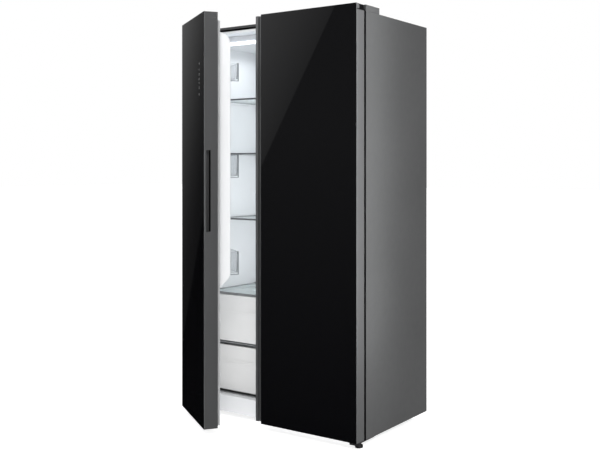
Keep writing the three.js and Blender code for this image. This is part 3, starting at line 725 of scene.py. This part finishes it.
def fan(name, axis, radius, hub_radius, depth, body):
    """Five twisted, cupped blades on a hub with a domed nose."""
    low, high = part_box(name)
    centre = (low + high) / 2
    bm = bmesh.new()
    add_turned(bm, centre, axis, [(2.6, -depth / 2), (hub_radius, -depth / 2),
                                  (hub_radius, depth / 2 - 2), (hub_radius - 2, depth / 2),
                                  (2.6, depth / 2)], 32)
    blades = 5
    for k in range(blades):
        part = bmesh.new()
        rows = []
        for i in range(7):
            r = hub_radius - 1 + (radius - hub_radius + 1) * i / 6
            half_angle = math.radians(26 - 4 * i / 6)
            row = []
            for j in range(9):
                a = 2 * math.pi * k / blades + half_angle * (j / 4 - 1) + math.radians(9) * i / 6
                lean = depth * 0.46 * (j / 4 - 1) * (1 - 0.25 * i / 6)
                cup = -1.2 * (1 - (j / 4 - 1) ** 2)
                row.append(part.verts.new((r * MM * math.cos(a), r * MM * math.sin(a),
                                           (lean + cup) * MM)))
            rows.append(row)
        for inner, outer in zip(rows, rows[1:]):
            for j in range(8):
                part.faces.new((inner[j], outer[j], outer[j + 1], inner[j + 1]))
        bmesh.ops.solidify(part, geom=part.faces[:], thickness=1.2 * MM)
        part.transform(Matrix.Translation(centre) @ turn_to(axis))
        merge(bm, part, 0)
    piece(f"{name}_moulded", bm, ["white_plastic"], body, [name], "white_plastic")


# ---- Compartments ----------------------------------------------------------------------------


def shelf(name):
    """A glass pane with a front trim and slim side and rear rails. A drawer lid's trim is white
    between two dark lines."""
    low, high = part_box(name)
    trim = 12 * MM
    bm = bmesh.new()
    pane_low = Vector((low.x + 1 * MM, low.y + 9 * MM, low.z + 0.4 * MM))
    pane_high = Vector((high.x - 1 * MM, high.y - 1 * MM, high.z - 3 * MM))
    add_block(bm, pane_low, pane_high, 0.6, 2, 0)
    for face in bm.faces:
        if abs(face.normal.z) < 0.9:
            face.material_index = 2
    if "shelf" in name:
        add_block(bm, low, (high.x, low.y + trim, high.z), 1.6, 3, 1)
    else:
        bead = 3 * MM
        trim_low = low + Vector((0, 1 * MM, bead))
        add_block(bm, trim_low, (high.x, low.y + trim, high.z - bead), 0.4, 2, 3)
        add_block(bm, (low.x, low.y, high.z - bead), (high.x, low.y + trim, high.z), 0.8, 2, 1)
        add_block(bm, low, (high.x, low.y + trim, low.z + bead), 0.8, 2, 1)
    rail = 5 * MM
    for x0, x1 in ((low.x, low.x + rail), (high.x - rail, high.x)):
        add_block(bm, (x0, low.y + trim - 1 * MM, low.z), (x1, high.y, high.z - 2.2 * MM), 0.6, 2, 1)
    add_block(bm, (low.x, high.y - 7 * MM, low.z), (high.x, high.y, high.z - 1.2 * MM), 0.8, 2, 1)
    piece(f"{name}_glazed", bm, ["shelf_glass", "shelf_trim", "glass_edge", "white_plastic"],
          body_of[name], [name], "shelf_glass")


def drawer(name):
    """A clear tub behind a frosted front. The lower drawer's front ends in a dark strip, painted shade for the gap
    under the drawer.
    """
    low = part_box(name)[0]
    front_back = low.y + 9 * MM
    # Painted shade: on the lower drawer the front below foot is black.
    foot = low.z + 9 * MM

    def front_edge(edge):
        return middle(edge).y < front_back and along(edge, Z)

    def tub_corner(edge):
        return along(edge, Z) and middle(edge).y > front_back and edge.calc_length() > 60 * MM

    def paint(face):
        at = face.calc_center_median()
        if at.y > front_back:
            return 0
        # Painted shade for the gap under the lower drawer.
        return 2 if at.z < foot and name.endswith("lower") else 1

    formed(name, 0.7, [(tub_corner, 8, 4), (front_edge, 1.6, 3)],
           ["clear_plastic", "frosted_plastic", "black_plastic"], paint, cuts=[(Z, foot)])


def freezer_inside():
    formed("freezer_duct_cover", 0.7)
    formed("freezer_ceiling_duct", 2.0, segments=3)
    for name in ("freezer_drawer_upper", "freezer_drawer_lower"):
        drawer(name)
    for name in ("freezer_shelf_1", "freezer_shelf_2", "freezer_shelf_3", "freezer_drawer_lid",
                 "freezer_drawer_divider"):
        shelf(name)
    formed("freezer_lamp", 1.0)


def fridge_inside():
    formed("fridge_duct_cover", 1.5, segments=3)
    for name in ("crisper_upper", "crisper_lower"):
        drawer(name)
    for name in ("fridge_shelf_1", "fridge_shelf_2", "fridge_shelf_3", "crisper_lid"):
        shelf(name)
    formed("fridge_lamp", 1.5)


# ---- Doors -----------------------------------------------------------------------------------


def door_glass(name, body):
    """The black pane, with a lighter metal strip on the side towards +X only, a painted highlight along the edge
    that catches the light.
    """
    low, high = closed_box(name)
    strip = 0.45 * MM
    pane = bmesh.new()
    add_block(pane, low, (high.x - strip, high.y, high.z), 0.9, 3)
    piece(f"{name}_pane", pane, ["black_glass"], body, [name], "black_glass")
    # Painted highlight: the lighter strip runs only along the +X edge.
    trim = bmesh.new()
    add_block(trim, (high.x - strip, low.y + 0.7 * MM, low.z + 1 * MM),
              (high.x, high.y + 0.2 * MM, high.z - 1 * MM))
    piece(f"{name}_edge_strip", trim, ["bright_trim"], body, slot="door_edge_paint")


def door_gasket(name, body):
    """A magnet pocket on two bellows folds, mitred at the corners."""
    low, high = closed_box(name)
    profile = [(1.6, 0), (0.6, 0.7), (0.1, 2.2), (1.7, 3.3), (0.2, 4.5), (1.5, 5.6), (0.2, 6.3),
               (0, 7.6), (0.5, 9.7), (1.4, 10.3), (10.6, 10.3), (11.5, 9.7), (12, 7.6),
               (11.8, 6.3), (10.5, 5.6), (11.8, 4.5), (10.3, 3.3), (11.9, 2.2), (11.4, 0.7),
               (10.4, 0)]
    bm = bmesh.new()
    sweep_rectangle(bm, profile, low, high)
    piece(f"{name}_bellows", bm, ["gasket_vinyl"], body, [name], "gasket_vinyl", sharp=50)


def door_bin(name):
    """A thin clear bin whose edges are painted dark: painted shade for the darkening that clear plastic shows at
    its edges.
    """
    low, high = closed_box(name)

    def corner(edge):
        return along(edge, Z) and edge.calc_length() > 40 * MM

    # Painted shade: the rounded corners take the dark clear_edge finish.
    formed(name, 0.8, [(corner, 3, 3)], ["thin_clear_plastic", "clear_edge"], edge_finish=1)
    # Painted shade: dark strips along the bin's edges.
    outline = bmesh.new()
    wall = 2.6 * MM
    inset = 0.1 * MM
    for x in (low.x + inset, high.x - inset - wall):
        add_block(outline, (x, high.y - 1.2 * wall, low.z + inset),
                  (x + wall, high.y - inset, high.z - inset), 0.5)
        add_block(outline, (x, low.y + 0.5 * MM, low.z + inset),
                  (x + wall, high.y - inset, low.z + wall), 0.5)
    piece(f"{name}_outline", outline, ["clear_edge"], body_of[name], slot="clear_plastic")


def door_liner(name):
    """The white inner skin. The finger pocket in the fridge door's side is painted black, painted shade in the
    recess.
    """
    low, high = closed_box(name)
    pocket_foot, pocket_top = (corner.z for corner in closed_box("freezer_grip_insert"))
    reach = low.x + 80 * MM

    def crest(edge):
        return middle(edge).y > high.y - 60 * MM

    def paint(face):
        inside = all(pocket_foot <= v.co.z <= pocket_top and v.co.x < reach for v in face.verts)
        # Painted shade: the fridge liner's faces in the pocket are black.
        return 1 if inside and name.startswith("fridge") else 0

    formed(name, 0.8, [(crest, 4.0, 4)], ["white_plastic", "rim_black"], paint)


def grip_insert():
    """The finger pocket: a grey floor between walls painted black, painted shade in the recess."""
    mouth = closed_box("freezer_grip_insert")[1].x

    def paint(face):
        # Painted shade: all but the pocket's floor are black.
        return 1 if face.normal.x > 0.9 and face.calc_center_median().x < mouth - 5 * MM else 0

    formed("freezer_grip_insert", 0.4, finishes=["rim_black", "door_edge_paint"], paint=paint)


def touch_icons():
    """Seven plain marks in a column on the freezer door's glass."""
    low, high = closed_box("freezer_door_glass")
    column = high.x - 77.5 * MM
    face = low.y
    below_top = [205.5, 231.5, 251.5, 270.5, 286.5, 306.5, 334.5]
    bm = bmesh.new()

    def bar(dx, dz, half_x, half_z):
        add_block(bm, (column + (dx - half_x) * MM, face - 0.06 * MM, (z + dz - half_z) * MM),
                  (column + (dx + half_x) * MM, face + 0.04 * MM, (z + dz + half_z) * MM))

    for i, drop in enumerate(below_top):
        z = high.z / MM - drop
        if i % 3 == 0:
            for dz, wide in ((0, 4.5), (3.2, 3), (-3.2, 3)):
                bar(0, dz, wide, 0.9)
        elif i % 3 == 1:
            bar(0, 0, 0.9, 4.5)
            bar(0, 0, 4.5, 0.9)
        else:
            for dx, dz, wide, tall in ((0, 3.4, 4, 0.8), (0, -3.4, 4, 0.8), (3.4, 0, 0.8, 3),
                                       (-3.4, 0, 0.8, 3)):
                bar(dx, dz, wide, tall)
    piece("touch_icons", bm, ["icon_ink"], "freezer_door", slot="black_glass")


def top_cap(name):
    """The cap's free side matches the pan. Its hinge side is grey at the front and painted black behind, as
    painted shade for the hinge notch, with a black band of painted shade along the seam that parts it from the
    pan."""
    low, high = closed_box(name)
    # Painted shade: the band below seam is black, standing for the gap between cap and pan.
    seam = low.z + 4 * MM
    front = low.y + 0.45 * (high.y - low.y)
    hinge_side = -1 if name.startswith("freezer") else 1
    middle_x = (low.x + high.x) / 2

    def paint(face):
        at = face.calc_center_median()
        towards_hinge = (at.x - middle_x) * hinge_side > 0
        if abs(face.normal.z) > 0.9:
            return 0
        if towards_hinge:
            # Painted shade: the seam band and the hinge side's rear part are black.
            return 2 if at.z < seam or at.y > front else 1
        return 1

    formed(name, 0.8, [], ["cap_plastic", "door_edge_paint", "rim_black"], paint,
           cuts=[(Z, seam), (X, middle_x), (Y, front)], shape=bow)


def door(prefix):
    """All of a door's pieces, laid out closed."""
    body = f"{prefix}_door"
    door_glass(f"{body}_glass", body)
    formed(f"{body}_pan", 0.5, shape=bow)
    top_cap(f"{body}_top_cap")
    door_liner(f"{body}_liner")
    door_gasket(f"{body}_gasket", body)
    for i in (1, 2, 3):
        door_bin(f"{body}_bin_{i}")


# ---- Whole object ----------------------------------------------------------------------------


def dress_plain_nodes():
    """CAD nodes that keep their own mesh take their slot's finish."""
    for name, shape in frame["nodes"].items():
        shape.data.materials.clear()
        shape.data.materials.append(FINISHES[slot_of[name]])


def build():
    dress_plain_nodes()
    outer_shell()
    formed("front_frame", 0.4)
    liner("freezer_liner")
    liner("fridge_liner")
    formed("base_pan", 0.3)
    back_panel()
    bay_cover()
    board_cover()
    for side_name in ("left", "right"):
        hinge_cover(side_name)
        foot(side_name)
        roller(side_name)
        hinges(side_name)
    compressor()
    fan("condenser_fan_blades", (1, 0, 0), 62, 18, 12, "condenser_fan_blades")
    fan("evaporator_fan_blades", (0, 1, 0), 44, 14, 10, "evaporator_fan_blades")
    freezer_inside()
    fridge_inside()
    door("freezer")
    door("fridge")
    grip_insert()
    touch_icons()


build()


# ---- Light, floor and camera -----------------------------------------------------------------

AMBIENT = 0.83
REAR_GLOW = 0.25
SIDE_WATTS = 7
RIGHT_WATTS = 20
KEY_WATTS = 58
LAMP_WATTS = 0.3
WALL_WATTS = 1.02
MOUTH_WATTS = 0.42


def studio_world():
    """White to the eye and soft grey for lighting. In reflections it is dark and fades downwards,
    faster behind the object than in front of it."""
    world = bpy.data.worlds.new("studio")
    bpy.context.scene.world = world
    world.use_nodes = True
    tree = world.node_tree
    tree.nodes.clear()

    def wire(source, target):
        tree.links.new(source, target)

    def ramp(value, low, high, dark, bright):
        made = tree.nodes.new("ShaderNodeMapRange")
        for key, number in {"From Min": low, "From Max": high, "To Min": dark,
                            "To Max": bright}.items():
            made.inputs[key].default_value = number
        wire(value, made.inputs["Value"])
        return made.outputs["Result"]

    def mix(factor, a, b):
        made = tree.nodes.new("ShaderNodeMix")
        wire(factor, made.inputs["Factor"])
        for key, value in {"A": a, "B": b}.items():
            if isinstance(value, float):
                made.inputs[key].default_value = value
            else:
                wire(value, made.inputs[key])
        return made.outputs["Result"]

    path = tree.nodes.new("ShaderNodeLightPath")
    place = tree.nodes.new("ShaderNodeTexCoord")
    split = tree.nodes.new("ShaderNodeSeparateXYZ")
    background = tree.nodes.new("ShaderNodeBackground")
    background.inputs["Color"].default_value = (1, 1, 1, 1)
    output = tree.nodes.new("ShaderNodeOutputWorld")
    wire(place.outputs["Generated"], split.inputs["Vector"])
    up = split.outputs["Z"]
    front = ramp(up, -0.3, 0.05, 0.02, 0.14)
    rear = ramp(up, -0.3, 0.3, 0.15, REAR_GLOW)
    reflected = mix(ramp(split.outputs["Y"], -0.1, 0.4, 0.0, 1.0), front, rear)
    lighting = mix(path.outputs["Is Glossy Ray"], AMBIENT, reflected)
    wire(mix(path.outputs["Is Camera Ray"], lighting, 1.0), background.inputs["Strength"])
    wire(background.outputs["Background"], output.inputs["Surface"])


def floor():
    bm = bmesh.new()
    bmesh.ops.create_grid(bm, x_segments=1, y_segments=1, size=40)
    mesh = bpy.data.meshes.new("floor")
    bm.to_mesh(mesh)
    bm.free()
    plane = bpy.data.objects.new("floor", mesh)
    bpy.context.scene.collection.objects.link(plane)
    plane.location.z = -0.0005
    material = bpy.data.materials.new("pale_floor")
    material.use_nodes = True
    shader = material.node_tree.nodes["Principled BSDF"]
    shader.inputs["Base Color"].default_value = (0.8, 0.8, 0.8, 1)
    shader.inputs["Roughness"].default_value = 0.9
    shader.inputs["Emission Color"].default_value = (1, 1, 1, 1)
    shader.inputs["Emission Strength"].default_value = 0.75
    mesh.materials.append(material)
    plane.visible_glossy = False


def area_light(name, place, target, size, watts, roll=0.0, colour=(1, 1, 1)):
    data = bpy.data.lights.new(name, "AREA")
    data.shape = "RECTANGLE"
    data.size, data.size_y = size
    data.energy = watts
    data.color = colour
    lamp = bpy.data.objects.new(name, data)
    bpy.context.scene.collection.objects.link(lamp)
    lamp.location = place
    aim = (Vector(target) - Vector(place)).to_track_quat("-Z", "Y")
    lamp.rotation_euler = (aim.to_matrix().to_4x4() @ Matrix.Rotation(roll, 4, "Z")).to_euler()
    lamp.visible_camera = False
    return lamp


def glow_panel(name, edge, lean, facing, size, glow):
    """A tall panel that only shows in reflections. Its near edge passes through a point and
    leans in the panel's plane; facing is the way in which the panel runs from that edge. The glow
    is (at the edge, gain, power of the distance from the edge in metres)."""
    across, tall = size
    bm = bmesh.new()
    corners = [(0, -tall / 2), (across, -tall / 2), (across, tall / 2), (0, tall / 2)]
    bm.faces.new([bm.verts.new((x, y, 0)) for x, y in corners])
    mesh = bpy.data.meshes.new(name)
    bm.to_mesh(mesh)
    bm.free()
    panel = bpy.data.objects.new(name, mesh)
    bpy.context.scene.collection.objects.link(panel)
    run = Vector(facing).normalized()
    up = Vector((0, 0, 1))
    axes = [run * math.cos(lean) + up * math.sin(lean), up * math.cos(lean) - run * math.sin(lean)]
    axes.append(axes[0].cross(axes[1]))
    panel.matrix_world = Matrix.Translation(edge) @ Matrix(axes).transposed().to_4x4()
    material = bpy.data.materials.new(f"{name}_glow")
    material.use_nodes = True
    tree = material.node_tree
    tree.nodes.clear()
    place = tree.nodes.new("ShaderNodeTexCoord")
    split = tree.nodes.new("ShaderNodeSeparateXYZ")
    power = tree.nodes.new("ShaderNodeMath")
    power.operation = "POWER"
    power.inputs[1].default_value = glow[2]
    rise = tree.nodes.new("ShaderNodeMath")
    rise.operation = "MULTIPLY_ADD"
    rise.inputs[1].default_value = glow[1]
    rise.inputs[2].default_value = glow[0]
    shine = tree.nodes.new("ShaderNodeEmission")
    output = tree.nodes.new("ShaderNodeOutputMaterial")
    tree.links.new(place.outputs["Object"], split.inputs["Vector"])
    tree.links.new(split.outputs["X"], power.inputs[0])
    tree.links.new(power.outputs["Value"], rise.inputs[0])
    tree.links.new(rise.outputs["Value"], shine.inputs["Strength"])
    tree.links.new(shine.outputs["Emission"], output.inputs["Surface"])
    mesh.materials.append(material)
    panel.visible_camera = False
    panel.visible_diffuse = False
    panel.visible_shadow = False


def reflections():
    """What the doors' glass mirrors: a bright leaning panel in front on the left, and a dimmer
    one on a black board behind on the left."""
    glow_panel("front_panel", (-1.5985, -2.7, 1.71), math.atan2(0.503, 0.864), (-1, 0, 0),
               (1.8, 3.4), (0.3, 0.78, 1))
    glow_panel("rear_panel", (-2.49, 0.443, 0.759), math.atan(0.1753), (0, 1, 0), (0.8, 3.6),
               (0.018, 1.8, 2))
    glow_panel("black_board", (-2.55, -0.6, 1.0), 0, (0, 1, 0), (2.6, 6), (0.004, 0, 1))


def compartment_light(lamp_node, liner_node, from_right):
    """The lamp's light falling from the ceiling, a soft fill from one side wall, and one from
    the compartment's mouth."""
    low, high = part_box(lamp_node)
    mouth_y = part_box(liner_node)[0].y - 0.035
    width = high.x - low.x
    top = Vector(((low.x + high.x) / 2, low.y + 0.17, low.z - 0.03))
    area_light(f"{lamp_node}_fall", top, top - Vector((0, 0, 1)), (0.8 * width, 0.2),
               LAMP_WATTS * width / 0.3, colour=(0.94, 0.97, 1))
    wall = top - Vector((0, 0, 0.7))
    wall.x = high.x + 0.004 if from_right else low.x - 0.004
    towards = Vector((-1 if from_right else 1, 0, 0))
    area_light(f"{lamp_node}_fill", wall, wall + towards, (0.22, 1.1), WALL_WATTS * width / 0.3,
               colour=(0.96, 0.98, 1))
    mouth = Vector(((low.x + high.x) / 2, mouth_y, 0.75))
    area_light(f"{lamp_node}_mouth", mouth, mouth + Vector((0, 1, 0)), (width, 1.25),
               MOUTH_WATTS * width / 0.3)


def lights():
    """A strip beside the cabinet, a softbox on the right, a high key light and the lamps."""
    area_light("side_strip", (0.78, -0.09, 1.2), (-0.02, -0.69, 1.2), (0.06, 1.8), SIDE_WATTS)
    area_light("right_softbox", (2.92, 1.36, 1.3), (0.465, -0.1, 1.2), (1.0, 2.6), RIGHT_WATTS)
    area_light("front_key", (2.3, -3.6, 4.2), (0, 0, 0.85), (1.6, 1.6), KEY_WATTS)
    compartment_light("freezer_lamp", "freezer_liner", True)
    compartment_light("fridge_lamp", "fridge_liner", False)


def camera():
    """A level camera at the photo's place, its picture shifted down."""
    data = bpy.data.cameras.new("camera")
    eye = bpy.data.objects.new("camera", data)
    bpy.context.scene.collection.objects.link(eye)
    eye.location = (2.25794, -3.10052, 1.0952)
    eye.rotation_euler = (math.radians(90), 0, math.radians(35.43))
    data.sensor_width = 36
    data.lens = 52.86
    data.shift_x = 0.001
    data.shift_y = -0.09495
    bpy.context.scene.camera = eye


studio_world()
floor()
reflections()
lights()
camera()
bpy.context.scene.view_settings.view_transform = "Standard"
